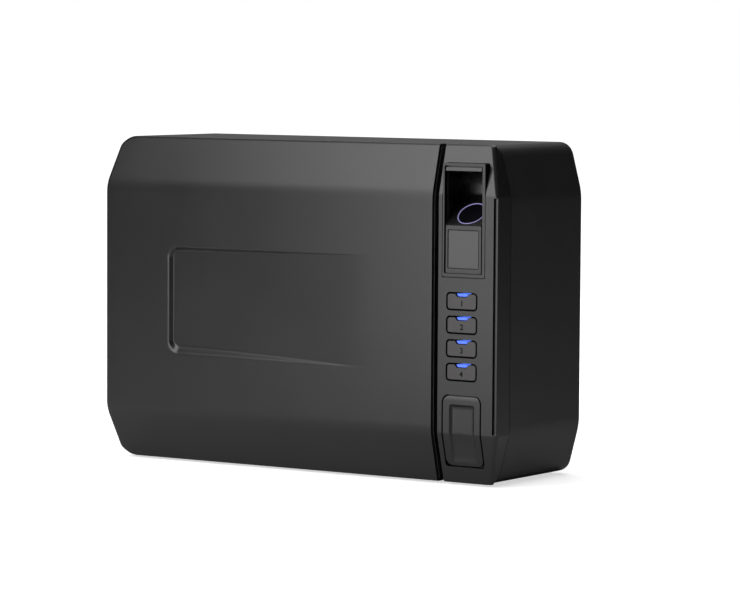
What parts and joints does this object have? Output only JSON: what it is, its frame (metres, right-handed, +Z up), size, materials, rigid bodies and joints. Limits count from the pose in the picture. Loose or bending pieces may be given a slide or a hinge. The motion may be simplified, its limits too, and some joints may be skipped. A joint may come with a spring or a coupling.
{
  "type": "quick-access medicine safe",
  "caption": "Slim steel lockbox with a side-hinged moulded door, a fingerprint reader with display, lit keys, a covered backup key lock and motor-driven bolts.",
  "frame": {"origin": "centre of the bounding box's footprint, at the bottom of the rubber feet", "axes": "+X to the right seen from the front, +Y from the front to the back, +Z up"},
  "size_m": [0.33, 0.11, 0.2305],
  "materials": {
    "case_paint": "satin black powder coat",
    "frame_paint": "satin dark powder coat",
    "rubber": "matte",
    "foam": "fine open-cell foam",
    "light_lens": "frosted",
    "steel": "zinc-plated",
    "shell_plastic": "satin charcoal with a fine texture",
    "module_plastic": "smooth satin",
    "sensor_glass": "smooth dark glass coating",
    "ring_light": "lit light guide",
    "screen": "plain grey display window",
    "board": "solder mask",
    "key_plastic": "satin",
    "key_light": "lit light guide",
    "cable": "flat",
    "nickel": "nickel-plated",
    "brass": "machined",
    "box_plastic": "satin",
    "cell_wrap": "plain sleeve"
  },
  "bodies": {
    "root": {"rear_case": "case_paint", "front_frame": "frame_paint", "bulkhead": "frame_paint", "feet": "rubber", "floor_mat": "foam", "cabin_light": "light_lens", "hinge_case_leaf": "steel", "hinge_pin": "steel", "door_seal": "rubber", "control_bezel": "shell_plastic", "bezel_screws": "steel", "scanner_housing": "module_plastic", "finger_sensor": "sensor_glass", "sensor_ring": "ring_light", "display_frame": "module_plastic", "display_window": "screen", "display_board": "board", "key_lights": "key_light", "key_board": "board", "ribbon_cable": "cable", "lock_well": "shell_plastic", "cover_pin": "steel", "key_cylinder": "nickel", "power_port": "nickel", "bolt_guide": "steel", "lock_motor": "nickel", "motor_bracket": "steel", "battery_box": "box_plastic", "batteries": "cell_wrap", "battery_contacts": "steel", "battery_lid": "box_plastic", "lid_screw": "steel", "main_board": "board", "board_posts": "brass"},
    "door": {"door_cover": "shell_plastic", "door_plate": "frame_paint", "door_pad": "foam", "striker_plate": "steel", "hinge_door_leaf": "steel"},
    "key_1": {"key_1": "key_plastic"},
    "key_2": {"key_2": "key_plastic"},
    "key_3": {"key_3": "key_plastic"},
    "key_4": {"key_4": "key_plastic"},
    "lock_cover": {"lock_cover": "shell_plastic"},
    "bolts": {"bolt_carrier": "steel"},
    "crank": {"drive_crank": "steel"},
    "plug": {"key_plug": "brass", "key_cam": "steel"}
  },
  "joints": [
    {"name": "door_hinge", "type": "hinge", "parent": "root", "child": "door", "pos_m": [-0.1625, -0.0364, 0.1155], "axis": [0, 0, -1], "range_deg": [0, 100]},
    {"name": "key_1_press", "type": "slide", "parent": "root", "child": "key_1", "axis": [0, 1, 0], "range_m": [0, 0.0008], "stiffness_N_per_m": 600},
    {"name": "key_2_press", "type": "slide", "parent": "root", "child": "key_2", "axis": [0, 1, 0], "range_m": [0, 0.0008], "stiffness_N_per_m": 600},
    {"name": "key_3_press", "type": "slide", "parent": "root", "child": "key_3", "axis": [0, 1, 0], "range_m": [0, 0.0008], "stiffness_N_per_m": 600},
    {"name": "key_4_press", "type": "slide", "parent": "root", "child": "key_4", "axis": [0, 1, 0], "range_m": [0, 0.0008], "stiffness_N_per_m": 600},
    {"name": "lock_cover_hinge", "type": "hinge", "parent": "root", "child": "lock_cover", "pos_m": [0.137, -0.0466, 0.0185], "axis": [1, 0, 0], "range_deg": [0, 95]},
    {"name": "bolt_slide", "type": "slide", "parent": "root", "child": "bolts", "axis": [-1, 0, 0], "range_m": [0, 0.009]},
    {"name": "crank_turn", "type": "hinge", "parent": "root", "child": "crank", "pos_m": [0.1287, -0.0105, 0.1215], "axis": [0, -1, 0], "range_deg": [-6, 96]},
    {"name": "key_turn", "type": "hinge", "parent": "root", "child": "plug", "pos_m": [0.137, -0.018, 0.0435], "axis": [0, -1, 0], "range_deg": [-6, 96]}
  ],
  "couplings": [
    {"joint": "crank_turn", "follows": "bolt_slide", "rad_per_m": 174.53},
    {"joint": "key_turn", "follows": "bolt_slide", "rad_per_m": 174.53}
  ]
}
